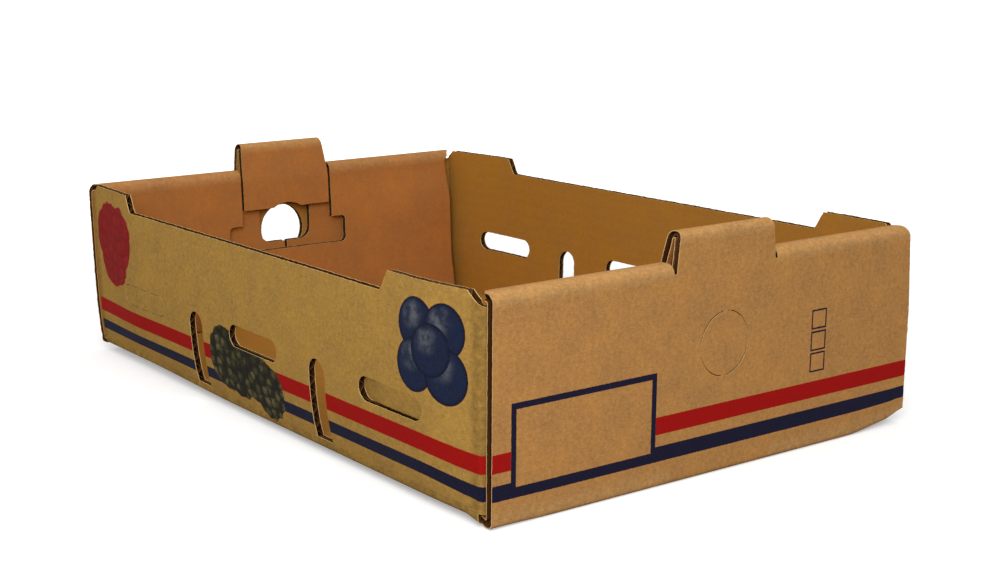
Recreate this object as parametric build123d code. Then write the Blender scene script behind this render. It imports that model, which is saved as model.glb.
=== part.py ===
from build123d import *
import os

# Open tray box, cut as one blank of corrugated board, folded up and glued.
# X runs along the tray, Y across it and Z up. The origin is the middle of the underside.
# All sizes are in millimetres.

# Outside of the tray
tray_length = 400.0
tray_width = 280.0
rim_height = 104.0

# Board
board = 4.0
ply_gap = 0.4
fold_inside_radius = 0.8
crease_outside_radius = 2.5
cut_corner_radius = 2.0

# Top edge of a side wall: a low middle between two raised ends of unlike length
low_edge_drop = 10.0
long_raised_end = 69.0
short_raised_end = 57.0
step_run = 5.5
corner_chamfer_run = 14.0

# Slots through the side walls, in a row that sits off the middle
slot_row_shift = 5.0
vent_width = 15.0
vent_top = 49.0
vent_foot_clearance = 0.4
grip_slot_length = 51.0
grip_slot_height = 12.5
grip_slot_level = 43.75
grip_slot_end_distance = 72.0

# Corner flaps between the two plies of an end wall
flap_top_drop = 6.5
flap_joint_clearance = 1.0
flap_notch_half_width = 19.5
flap_notch_radius = 8.0

# End walls, whose outer panels stop short of the side wall at one side
panel_inset = 3.0
rim_corner_radius = 6.0
inner_panel_side_clearance = 2.5
window_width = 90.0
window_radius = 3.0

# Stacking tab and hand hole, both off the middle of the end wall by the same shift
hand_shift = 5.0
tab_base_width = 66.0
tab_top_width = 62.0
tab_rise = 17.0
tab_corner_radius = 4.5
tab_fold_inside_radius = 0.3
tab_fold_depth = 4.8
tab_slit = 1.0
tab_ply_drop = 26.5
hand_hole_diameter = 32.5
hand_hole_drop = 42.5
hand_notch_clearance = 2.8

# How far the notch and the window reach past the middle of the hand hole
flap_notch_below_hand = 7.5
window_below_hand = 12.0
window_above_hand = 6.0

# Knock-outs that are still in place, and the one that is pushed in about its top edge
kerf = 0.6
nick = 2.0
pushed_in_angle = 22.0

# Places that follow from the sizes above
half_length = tray_length / 2
half_width = tray_width / 2
fold_reach = fold_inside_radius + board
wall_foot = fold_reach + ply_gap
outer_panel_mid = half_length - board / 2
flap_mid = outer_panel_mid - board - ply_gap
inner_panel_mid = flap_mid - board - ply_gap
inner_panel_face = inner_panel_mid - board / 2
bend_start = flap_mid + board / 2 - fold_reach
side_fold_end = flap_mid + board / 2 - crease_outside_radius
side_wall_mid = half_width - board / 2
inner_panel_half_width = half_width - board - inner_panel_side_clearance
panel_width = tray_width - panel_inset
floor_mid = board / 2
low_edge_height = rim_height - low_edge_drop
flap_top = rim_height - flap_top_drop
tab_top = rim_height + tab_rise
tab_ply_bottom = rim_height - tab_ply_drop
hand_hole_level = rim_height - hand_hole_drop
flap_notch_bottom = hand_hole_level - flap_notch_below_hand
window_bottom = hand_hole_level - window_below_hand
window_top = hand_hole_level + window_above_hand
end_slot_spacing = half_length - grip_slot_end_distance
clear = tray_length


def beside(corners, distance):
    """Corners of the line that runs beside another one, at a distance to its right."""
    points = [Vector(*corner) for corner in corners]
    ways = [(end - start).normalized() for start, end in zip(points, points[1:])]
    rights = [Vector(way.Y, -way.X) for way in ways]
    first = points[0] + rights[0] * distance
    last = points[-1] + rights[-1] * distance
    middle = []
    for point, before, after in zip(points[1:], rights, rights[1:]):
        both = before + after
        middle.append(point + both * (2 * distance / both.dot(both)))
    return [first, *middle, last]


def ply(corners, width, outside, inside):
    """Board seen on edge along a line that bends to the left, pulled out half to each side.

    The radii of its bends are given for both of its faces, as a crease squeezes the board.
    """
    outer = FilletPolyline(*beside(corners, board / 2), radius=outside)
    inner = FilletPolyline(*beside(corners, -board / 2), radius=inside)
    cut_ends = [Line(outer @ 0, inner @ 0), Line(outer @ 1, inner @ 1)]
    return extrude(make_face(Curve() + outer + inner + cut_ends), amount=width / 2, both=True)


def floor_and_side_folds():
    """Floor of the tray with the long folds that turn it up into the side walls."""
    corners = [
        (-side_wall_mid, wall_foot),
        (-side_wall_mid, floor_mid),
        (side_wall_mid, floor_mid),
        (side_wall_mid, wall_foot),
    ]
    section = ply(corners, 2 * side_fold_end, crease_outside_radius, fold_inside_radius)
    return Plane.YZ * section


def flap_panel():
    """Side wall with a flap folded in at both ends, before its edges are cut."""
    corners = [
        (-flap_mid, -hand_shift - flap_joint_clearance),
        (-flap_mid, -side_wall_mid),
        (flap_mid, -side_wall_mid),
        (flap_mid, hand_shift - flap_joint_clearance),
    ]
    height = rim_height - wall_foot
    wall = ply(corners, height, crease_outside_radius, fold_inside_radius)
    return Pos(0, 0, wall_foot + height / 2) * wall


def side_edge_waste():
    """What the die takes off the top edge of the side wall, seen from the side."""
    low_left = half_length - short_raised_end - step_run
    low_right = half_length - long_raised_end - step_run
    middle = Polygon(
        (-low_left, low_edge_height),
        (low_right, low_edge_height),
        (low_right + step_run, rim_height),
        (low_right + step_run, rim_height + board),
        (-low_left - step_run, rim_height + board),
        (-low_left - step_run, rim_height),
        align=None,
    )
    middle = fillet(middle.vertices().group_by(Axis.Y)[0], cut_corner_radius)
    chamfer_start = half_length - corner_chamfer_run
    chamfer_end = flap_mid
    corner = Polygon(
        (chamfer_start, rim_height),
        (chamfer_end, flap_top),
        (half_length + board, flap_top),
        (half_length + board, rim_height + board),
        (chamfer_start, rim_height + board),
        align=None,
    )
    waste = Sketch() + middle + corner + mirror(corner, about=Plane.YZ)
    return extrude(Plane.XZ * waste, amount=clear, both=True)


def flap_notch(shift):
    """Notch that both flaps of one end share, so that a hand can pass through."""
    notch = Polygon(
        (-flap_notch_half_width, flap_notch_bottom),
        (flap_notch_half_width, flap_notch_bottom),
        (flap_notch_half_width, rim_height + board),
        (-flap_notch_half_width, rim_height + board),
        align=None,
    )
    notch = fillet(notch.vertices().group_by(Axis.Y)[0], flap_notch_radius)
    depth = half_length - bend_start
    return extrude(Plane.YZ.offset(bend_start) * Pos(shift, 0) * notch, amount=depth)


def side_wall():
    """Wall at -Y with its raised ends, chamfered corners and two notched flaps."""
    wall = flap_panel() - side_edge_waste()
    over_flaps = Box(
        clear,
        tray_width - 2 * fold_reach,
        2 * board + rim_height - flap_top,
        align=(Align.MIN, Align.CENTER, Align.MIN),
    )
    near_cut = Pos(bend_start, 0, flap_top) * over_flaps
    wall -= near_cut + near_cut.rotate(Axis.Z, 180)
    wall -= flap_notch(hand_shift)
    wall -= flap_notch(hand_shift).rotate(Axis.Z, 180)
    return wall


def vent_slot():
    """Upright slot with a round head, its square foot just above the side fold."""
    foot = wall_foot + vent_foot_clearance
    head = vent_top - vent_width / 2
    shank = Rectangle(vent_width, head - foot, align=(Align.CENTER, Align.MIN))
    return Pos(0, foot) * shank + Pos(0, head) * Circle(vent_width / 2)


def grip_slot():
    """Level slot with round ends."""
    return Pos(0, grip_slot_level) * SlotOverall(grip_slot_length, grip_slot_height)


def kerf_ring(outline, nick_angle):
    """Cut line just inside an outline, broken by four nicks of uncut board."""
    ring = outline - offset(outline, -kerf)
    centre = Pos(outline.center())
    reach = 2 * outline.bounding_box().size.X
    nicks = Sketch()
    for turn in (nick_angle, nick_angle + 90):
        nicks += centre * Rot(0, 0, turn) * Rectangle(reach, nick)
    return ring - nicks


def wall_slots():
    """Five slots of a side wall as sketches, keyed by where they stand along it."""
    vent_spacing = end_slot_spacing / 2
    return {
        "end_far": Pos(slot_row_shift - end_slot_spacing, 0) * grip_slot(),
        "vent_far": Pos(slot_row_shift - vent_spacing, 0) * vent_slot(),
        "middle": Pos(slot_row_shift, 0) * grip_slot(),
        "vent_near": Pos(slot_row_shift + vent_spacing, 0) * vent_slot(),
        "end_near": Pos(slot_row_shift + end_slot_spacing, 0) * grip_slot(),
    }


def pushed_in_flap():
    """Knock-out of the level slot at the near end, swung inwards about its uncut top edge."""
    straight = grip_slot_length - grip_slot_height
    root = Pos(0, grip_slot_height / 4) * Rectangle(straight, grip_slot_height / 2)
    outline = offset(SlotOverall(grip_slot_length, grip_slot_height), -kerf) + root
    plate = extrude(Plane.XZ * Pos(0, -grip_slot_height / 2) * outline, amount=-board)
    place = Pos(
        slot_row_shift + end_slot_spacing,
        -half_width,
        grip_slot_level + grip_slot_height / 2,
    )
    return place * plate.rotate(Axis.X, pushed_in_angle)


def through_side(sketch):
    """Turns a sketch seen from -Y into a cutter for the wall at -Y."""
    depth = fold_reach + board
    return extrude(Plane.XZ.offset(half_width + board) * sketch, amount=-depth)


def end_wall():
    """End at +X: outer panel, rolled rim and inner panel, folded from one strip."""
    corners = [
        (bend_start, floor_mid),
        (outer_panel_mid, floor_mid),
        (outer_panel_mid, rim_height - board / 2),
        (inner_panel_mid, rim_height - board / 2),
        (inner_panel_mid, board + ply_gap),
    ]
    outside = [crease_outside_radius, fold_reach, fold_reach]
    strip = Plane.XZ * ply(corners, 2 * tray_width, outside, fold_inside_radius)
    blank = Pos(panel_inset / 2, rim_height / 2) * Rectangle(panel_width, rim_height)
    blank = fillet(blank.vertices().group_by(Axis.Y)[-1], rim_corner_radius)
    strip &= extrude(Plane.YZ * blank, amount=clear)
    strip -= rim_ends()
    strip -= window()
    return strip + tab()


def rim_ends():
    """Slanting ends of the rim, which also narrow the inner panel between the side walls."""
    inside = inner_panel_face - board
    slant_end = inner_panel_mid + fold_inside_radius
    waste = Polygon(
        (half_length - board, half_width + board),
        (half_length - board, half_width),
        (slant_end, inner_panel_half_width),
        (inside, inner_panel_half_width),
        (inside, half_width + board),
        align=None,
    )
    waste = Sketch() + waste + mirror(waste, about=Plane.XZ)
    return Pos(0, 0, board + ply_gap) * extrude(waste, amount=rim_height)


def window():
    """Stepped opening in the inner panel, with the neck that the tab was cut from."""
    neck_width = tab_base_width + 2 * tab_slit
    wide = Polygon(
        (-window_width / 2, window_bottom),
        (window_width / 2, window_bottom),
        (window_width / 2, window_top),
        (-window_width / 2, window_top),
        align=None,
    )
    wide = fillet(wide.vertices(), window_radius)
    neck_height = rim_height + board - window_top
    neck = Pos(0, window_top) * Rectangle(neck_width, neck_height, align=(Align.CENTER, Align.MIN))
    inside = inner_panel_face - board
    outline = Plane.YZ.offset(inside) * Pos(hand_shift, 0) * (wide + neck)
    cut = extrude(outline, amount=half_length - board - inside)
    rim_fold = Box(clear, neck_width, clear, align=(Align.MIN, Align.CENTER, Align.MIN))
    return cut + Pos(inside, hand_shift, rim_height - fold_reach) * rim_fold


def tab():
    """Stacking tab: the outer panel runs up, folds back on itself and hangs in the window."""
    crown = tab_top - board / 2
    knee = flap_top - fold_inside_radius
    corners = [
        (outer_panel_mid, rim_height - fold_reach),
        (outer_panel_mid, crown),
        (outer_panel_mid - tab_fold_depth, crown),
        (inner_panel_mid, knee),
        (inner_panel_mid, tab_ply_bottom),
    ]
    inside = [tab_fold_inside_radius, tab_fold_inside_radius, fold_reach - board / 2]
    outside = [radius + board for radius in inside]
    strip = Plane.XZ * ply(corners, tab_base_width, outside, inside)
    shoulder = rim_height - fold_reach
    face = Polygon(
        (-tab_base_width / 2, tab_ply_bottom - board),
        (tab_base_width / 2, tab_ply_bottom - board),
        (tab_base_width / 2, shoulder),
        (tab_top_width / 2, tab_top),
        (-tab_top_width / 2, tab_top),
        (-tab_base_width / 2, shoulder),
        align=None,
    )
    face = fillet(face.vertices().group_by(Axis.Y)[-1], tab_corner_radius)
    strip &= extrude(Plane.YZ * face, amount=clear)
    notch = Circle(hand_hole_diameter / 2 + hand_notch_clearance)
    strip -= extrude(Plane.YZ * Pos(0, hand_hole_level) * notch, amount=flap_mid)
    return Pos(0, hand_shift, 0) * strip


def hand_hole():
    """Round hole of the end at +X, as a sketch seen along X."""
    return Pos(hand_shift, hand_hole_level) * Circle(hand_hole_diameter / 2)


def through_end(sketch):
    """Turns a sketch seen along X into a cutter for the outer panel at +X."""
    inside = half_length - board - ply_gap / 2
    return extrude(Plane.YZ.offset(inside) * sketch, amount=2 * board)


def folded_tray():
    """Whole tray: both side walls and both ends are alike, turned half round."""
    tray = floor_and_side_folds()
    for turn in (0, 180):
        tray += side_wall().rotate(Axis.Z, turn)
        tray += end_wall().rotate(Axis.Z, turn)

    # Of the wall at -Y, the far end slot is only scored and keeps its knock-out
    for turn, kept in ((0, "end_far"), (180, None)):
        for place, outline in wall_slots().items():
            if place == kept:
                outline = kerf_ring(outline, 45)
            tray -= through_side(outline).rotate(Axis.Z, turn)
    tray += pushed_in_flap()

    # The hand hole at +X keeps its disc, the one at -X is pushed out
    tray -= through_end(kerf_ring(hand_hole(), 0))
    tray -= through_end(hand_hole()).rotate(Axis.Z, 180)
    return tray


os.makedirs("parts", exist_ok=True)
export_step(folded_tray(), "parts/folded_tray.step")
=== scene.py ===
import math

import bpy
import numpy as np
from mathutils import Matrix, Vector
from mathutils.geometry import delaunay_2d_cdt


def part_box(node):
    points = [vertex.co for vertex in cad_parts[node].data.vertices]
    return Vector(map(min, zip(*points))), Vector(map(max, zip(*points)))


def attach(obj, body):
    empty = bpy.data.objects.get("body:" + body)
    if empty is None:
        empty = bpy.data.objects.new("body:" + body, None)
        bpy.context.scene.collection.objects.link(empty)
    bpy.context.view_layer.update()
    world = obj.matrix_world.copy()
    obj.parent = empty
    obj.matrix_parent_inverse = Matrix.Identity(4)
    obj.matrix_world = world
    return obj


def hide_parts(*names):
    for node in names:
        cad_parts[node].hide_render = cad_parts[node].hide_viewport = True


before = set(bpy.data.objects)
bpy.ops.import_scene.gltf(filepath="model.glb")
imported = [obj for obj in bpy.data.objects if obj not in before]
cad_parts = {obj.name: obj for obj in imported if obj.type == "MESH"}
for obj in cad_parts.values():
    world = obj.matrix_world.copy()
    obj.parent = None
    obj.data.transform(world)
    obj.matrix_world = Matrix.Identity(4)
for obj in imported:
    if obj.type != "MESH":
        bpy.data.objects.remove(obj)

bl_info = {
    "name": "Folded cardboard tray",
    "version": (1, 0, 0),
    "blender": (4, 5, 0),
    "location": "View3D > Sidebar > Tray",
    "description": "Builds a printed and folded tray of corrugated board, with its liners and fluted core",
    "category": "Add Mesh",
}

NODE = "folded_tray"
BODY = "root"
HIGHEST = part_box(NODE)[1]


# Settings that a user would change

def length(name, description, millimetres):
    """A length setting, given in millimetres and kept in metres."""
    return bpy.props.FloatProperty(
        name=name, description=description, default=millimetres / 1000, unit="LENGTH", precision=5
    )


def colour(name, description, red, green, blue):
    """A colour setting, given as the eight-bit values that it shows as."""
    shown = [value / 255 for value in (red, green, blue)]
    linear = [s / 12.92 if s <= 0.04045 else ((s + 0.055) / 1.055) ** 2.4 for s in shown]
    return bpy.props.FloatVectorProperty(
        name=name, description=description, default=linear, subtype="COLOR", size=3, min=0, max=1
    )


class TrayBoard(bpy.types.PropertyGroup):
    """The corrugated board and how it folds."""

    board: length("Board", "Thickness of the board", 4.0)
    liner: length("Liner", "Thickness of each flat liner", 0.4)
    medium: length("Medium", "Thickness of the fluted sheet", 0.25)
    flute_pitch: length("Flute pitch", "Distance from one flute to the next", 7.6)
    ply_gap: length("Ply gap", "Air between plies that lie on each other", 0.4)
    fold_inside: length("Fold inside radius", "Radius of a fold on its inner side", 0.8)
    crease_outside: length("Crease outside radius", "Radius of a creased fold on its outer side", 2.5)
    grid: length("Grid", "Size of the mesh's cells on flat board", 8.0)
    sunk: length("Sunk flutes", "How far the fluted sheet's cut edge lies behind the liners'", 0.35)
    wear: length("Edge wear", "How far a cut edge strays from its line", 0.16)
    ripple: length("Ripple", "Height of the board's slow waves", 0.3)


class TraySides(bpy.types.PropertyGroup):
    """Side walls with their slots and corner flaps."""

    low_edge_drop: length("Low edge drop", "Low middle of the wall below the rim", 10.0)
    long_raised_end: length("Long raised end", "Length of the longer raised end", 69.0)
    short_raised_end: length("Short raised end", "Length of the shorter raised end", 57.0)
    step_run: length("Step run", "Length of the slanting step", 5.5)
    cut_corner: length("Cut corner radius", "Radius where a step meets the low edge", 2.0)
    chamfer_run: length("Chamfer run", "Length of the slant at a corner", 14.0)
    slot_shift: length("Slot row shift", "Middle of the slot row from the wall's middle", 5.0)
    vent_width: length("Vent width", "Width of an upright slot", 15.0)
    vent_top: length("Vent top", "Height of an upright slot's top", 49.0)
    vent_foot: length("Vent foot clearance", "Upright slot's foot above the fold", 0.4)
    grip_length: length("Grip slot length", "Length of a level slot", 51.0)
    grip_height: length("Grip slot height", "Height of a level slot", 12.5)
    grip_level: length("Grip slot level", "Height of a level slot's middle", 43.75)
    grip_from_end: length("Grip slot from end", "Middle of an outer level slot from the tray's end", 72.0)
    flap_top_drop: length("Flap top drop", "Corner flap's top below the rim", 6.5)
    flap_joint: length("Flap joint", "Flap's end from the middle of the hand hole", 1.0)
    flap_notch_half: length("Flap notch half width", "Half the width of the flaps' shared notch", 19.5)
    flap_notch_below: length("Flap notch below hand", "Notch's foot below the middle of the hand hole", 7.5)
    flap_notch_radius: length("Flap notch radius", "Radius of the notch's lower corners", 8.0)
    front_bulge: length("Front bulge", "How far the front wall bows outwards", 4.3)
    front_belly: length("Front belly", "What the front wall bows further halfway up", 1.6)
    front_far_bulge: length("Front far bulge", "What the front wall's far half bows further", 0.8)
    back_lean: length("Back lean", "How far the back wall leans outwards at its top", 2.8)
    corner_tuck: length("Corner tuck", "How far the front wall is drawn in at its near corner", 1.0)
    back_tuck: length("Back tuck", "How far the back wall is drawn in at its far corner", 2.5)
    corner_swell: length("Corner swell", "How far the back wall's near corner stands out below its top", 2.3)
    corner_crush: length("Corner crush", "How far the foot of that corner is pushed up", 5.0)
    lift: length(
        "Lift", "How far the side walls stand off the ground, as the floor and the end creases sag", 3.2
    )
    foot_rise: length("Foot rise", "How much further the front wall's foot stands up", 0.6)
    far_foot_rise: length("Far foot rise", "What its far half stands up on top of that", 2.0)


class TrayEnds(bpy.types.PropertyGroup):
    """Double end walls with their window, tab and hand hole."""

    panel_inset: length("Panel inset", "Outer panel's edge from the side wall, at one side", 2.4)
    rim_corner: length(
        "Rim corner radius", "Radius of the end wall's top corner, at the side that is not inset", 6.8
    )
    rim_nip: length("Inset rim corner radius", "Radius of the end wall's top corner at its inset side", 2.4)
    inner_clearance: length("Inner panel clearance", "Inner panel's side from the side wall", 2.5)
    inner_trim: length(
        "Inner panel trim", "What the inner panel is narrower by, at the outer panel's inset side", 4.5
    )
    inner_spring: length(
        "Inner panel spring", "How far the inner panel's edge has sprung off the flap there", 5.0
    )
    window_width: length("Window width", "Width of the window's wide part", 90.0)
    window_radius: length("Window radius", "Radius of the window's corners", 3.0)
    window_below: length("Window below hand", "Window's foot below the middle of the hand hole", 12.0)
    window_above: length("Window above hand", "Top of the window's wide part above the hand hole", 6.0)
    hand_shift: length("Hand shift", "Hand hole and tab off the end's middle", 5.0)
    hand_diameter: length("Hand hole", "Diameter of the hand hole", 32.5)
    hand_drop: length("Hand drop", "Middle of the hand hole below the rim", 42.5)
    hand_notch: length("Hand notch clearance", "Clearance of the tab's notch round the hand hole", 2.8)
    tab_base: length("Tab base width", "Width of the tab at its base", 66.0)
    tab_crown: length("Tab crown width", "Width of the tab at its top", 62.0)
    tab_rise: length("Tab rise", "Tab's top above the rim", 17.0)
    near_tab_sink: length("Near tab sink", "How far the near tab is pressed down", 1.9)
    tab_corner: length("Tab corner radius", "Radius of the tab's corners", 4.5)
    tab_fold_inside: length("Tab fold inside radius", "Radius of the tab's folds on their inner side", 0.3)
    tab_depth: length("Tab depth", "Depth of the folded tab, between middles of its board", 4.8)
    tab_slit: length("Tab slit", "Slit at each side of the tab", 1.8)
    tab_ply_drop: length("Tab ply drop", "Foot of the tab's inner ply below the rim", 26.5)
    far_lean: length("Far lean", "How far the far end leans outwards at its top", 5.6)
    kerf: length("Kerf", "Width of the cut round a knock-out where it gapes", 0.8)
    fine_kerf: length("Fine kerf", "Width of the cut round a knock-out where it is shut", 0.4)
    nick: length("Nick", "Width of the uncut board that holds a knock-out", 2.0)
    pushed_in: bpy.props.FloatProperty(
        name="Pushed in", description="Swing of the pushed-in knock-out", default=math.radians(9.5),
        unit="ROTATION"
    )
    pushed_end: length("Pushed end", "What the pushed-in knock-out's left end gives further", 2.2)


class TrayColours(bpy.types.PropertyGroup):
    """Colours of paper and ink."""

    # Painted light: the side, end and inside kraft tones are one paper, tinted yellower on faces that look to
    # the sides and pinker on faces that look to the ends, as the light falling there is tinted. The inside
    # tone is also darker, partly the inner liner's own colour and partly painted bounce light.
    side_kraft: colour("Side kraft", "Outer liner on the side walls", 168, 130, 65)
    end_kraft: colour("End kraft", "Outer liner on the end walls", 174, 126, 72)
    # Painted shade and bounce light: the end walls' kraft made darker and oranger on the rolled rim and inner
    # panels, the flaps and the tabs' inner ply
    inward_kraft_painted_shade: colour(
        "Inward kraft, painted shade", "Outer liner where the end wall rolls over to the inside", 163, 104, 53
    )
    inside_kraft: colour("Inside kraft", "Inner liner", 162, 112, 45)
    # Partly wear, partly painted sheen: a paler band along the folds of the end walls and tabs, where light
    # falls on their tops
    worn_paper_and_sheen: colour("Worn paper and sheen", "Paper worn along the folds, with a painted sheen", 188, 156, 108)
    # Painted shade: a darker band in the folds' creases, on the side walls' outer liner and on every inner
    # liner
    painted_crease_shade: colour(
        "Painted crease shade", "Painted shade in the creases along the folds", 112, 84, 40
    )
    cut_paper: colour("Cut paper", "Bare paper at cut edges", 205, 172, 118)
    # Partly the fluted sheet's own darker paper, partly painted shade inside the board; the liners' hidden
    # sides take it too
    flute_paper: colour("Flute paper", "Fluted sheet inside the board", 72, 42, 18)
    cut_flute: colour("Cut flute", "Cut edge of the fluted sheet", 126, 94, 54)
    red_ink: colour("Red ink", "Red stripe and red fruit", 154, 16, 15)
    blue_ink: colour("Blue ink", "Blue stripe, frame and boxes", 20, 22, 44)
    dark_ink: colour("Dark ink", "Dark fruit", 24, 25, 16)
    floor: colour("Floor", "Studio floor", 236, 236, 236)


SETTINGS = {
    "tray_board": TrayBoard, "tray_sides": TraySides, "tray_ends": TrayEnds, "tray_colours": TrayColours
}


class Places:
    """Places that follow from the frame and the settings, in metres."""

    def __init__(self, scene):
        board, sides, ends = scene.tray_board, scene.tray_sides, scene.tray_ends
        self.half_length = HIGHEST.x
        self.half_width = HIGHEST.y
        self.tab_top = HIGHEST.z
        self.rim = self.tab_top - ends.tab_rise
        self.board = board.board
        self.inside = board.fold_inside
        self.crease = board.crease_outside
        self.fold = self.inside + self.board / 2
        self.reach = self.inside + self.board
        self.quarter = self.fold * math.pi / 2
        self.wall_foot = self.reach + board.ply_gap
        self.outer_mid = self.half_length - board.board / 2
        self.flap_mid = self.outer_mid - board.board - board.ply_gap
        self.inner_mid = self.flap_mid - board.board - board.ply_gap
        self.bend_start = self.flap_mid + board.board / 2 - self.reach
        self.side_fold_end = self.flap_mid + board.board / 2 - self.crease
        self.side_mid = self.half_width - board.board / 2
        self.inner_half = self.half_width - board.board - ends.inner_clearance
        self.floor_mid = board.board / 2
        self.low_edge = self.rim - sides.low_edge_drop
        self.flap_top = self.rim - sides.flap_top_drop
        self.hand_level = self.rim - ends.hand_drop
        self.shoulder = self.rim - self.reach
        self.slot_spacing = self.half_length - sides.grip_from_end
        self.floor_half_run = self.side_mid - self.fold + self.quarter + self.wall_foot - self.reach


# Flat outlines, as lists of points

CHORD, WORN_STEP = 0.0007, 0.0016
ROUND_END = 0.9999


def rounded(corners, chord=CHORD):
    """Closed outline through corners, each given as (x, y, radius)."""
    outline = []
    for index, (x, y, radius) in enumerate(corners):
        here = Vector((x, y))
        if radius == 0:
            outline.append(here)
            continue
        before = (Vector(corners[index - 1][:2]) - here).normalized()
        after = (Vector(corners[(index + 1) % len(corners)][:2]) - here).normalized()
        half = before.angle(after) / 2
        middle = here + (before + after).normalized() * radius / math.sin(half)
        start = here + before * radius / math.tan(half) - middle
        turn = start.angle_signed(here + after * radius / math.tan(half) - middle)
        steps = max(3, math.ceil(abs(turn) * radius / chord))
        for step in range(steps + 1):
            angle = -turn * step / steps
            outline.append(middle + Matrix.Rotation(angle, 2) @ start)
    return outline


def circle(x, y, radius, chord=CHORD):
    """Closed round outline."""
    count = math.ceil(2 * math.pi * radius / chord)
    turns = (2 * math.pi * index / count for index in range(count))
    return [Vector((x + radius * math.cos(a), y + radius * math.sin(a))) for a in turns]


def level_slot(x, y, length_, height):
    """Level slot with round ends."""
    right, left, r = x + length_ / 2, x - length_ / 2, height / 2 * ROUND_END
    low, high = y - height / 2, y + height / 2
    return rounded([(left, low, r), (right, low, r), (right, high, r), (left, high, r)])


def upright_slot(x, foot, top, width):
    """Upright slot with a square foot and a round head."""
    half = width / 2
    head = half * ROUND_END
    return rounded([
        (x - half, foot, 0), (x + half, foot, 0), (x + half, top, head), (x - half, top, head),
    ])


def evenly(loop, step):
    """The outline with points no further apart than a step."""
    dense = []
    for index, here in enumerate(loop):
        there = loop[(index + 1) % len(loop)]
        count = max(1, math.ceil((there - here).length / step))
        dense += [here.lerp(there, part / count) for part in range(count)]
    return dense


def worn(loop, amount, seed, held=None):
    """The outline with small slips off its line, apart from points that are held."""
    dense = evenly(loop, WORN_STEP)
    slips = np.random.default_rng(seed).normal(0, amount / 2, (len(dense), 2)).clip(-amount, amount)
    return [here if held and held(here) else here + Vector(slip) for here, slip in zip(dense, slips)]


def inset(loop, amount):
    """The outline moved inwards, or outwards where it runs the other way round."""
    moved = []
    for index, here in enumerate(loop):
        along = (loop[(index + 1) % len(loop)] - loop[index - 1]).normalized()
        moved.append(here + Vector((-along.y, along.x)) * amount)
    return moved


def turns_left(loop):
    """Whether an outline runs anticlockwise."""
    corners = np.array(loop)
    onward = np.roll(corners, -1, 0)
    return (corners[:, 0] * onward[:, 1] - onward[:, 0] * corners[:, 1]).sum() > 0


def kerfs(loop, middle, narrow, wide, nick, turned):
    """Cut line just inside an outline, as thin closed outlines between four nicks. Two of them gape."""
    dense = evenly(loop, CHORD)
    count = len(dense)
    runs, run = [], []
    centre = Vector(middle)
    axes = [Vector((math.cos(a), math.sin(a))) for a in (turned, turned + math.pi / 2)]
    uncut = [min(abs((p - centre).cross(axis)) for axis in axes) < nick / 2 for p in dense]
    start = uncut.index(True)
    for step in range(count + 1):
        index = (start + step) % count
        if uncut[index]:
            if len(run) > 2:
                runs.append(run)
            run = []
            continue
        along = (dense[(index + 1) % count] - dense[index - 1]).normalized()
        inwards = Vector((-along.y, along.x))
        if inwards.dot(centre - dense[index]) < 0:
            inwards = -inwards
        bearing = (dense[index] - centre).angle_signed(axes[0])
        width = narrow + (wide - narrow) * max(0.0, math.cos(2 * bearing - math.pi / 2))
        run.append((dense[index], dense[index] + inwards * width))
    return [[outer for outer, inner in run] + [inner for outer, inner in reversed(run)] for run in runs]


# Board seen on edge: straight runs joined by folds to the left, walked by distance

FOLD_STEPS, FOLD_BAND_REACH = 10, 0.003
CLOSEST_LINES = 0.0002
PLANES = {"XY": (0, 1, 2, 1), "YZ": (1, 2, 0, 1), "XZ": (0, 2, 1, -1)}


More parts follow.
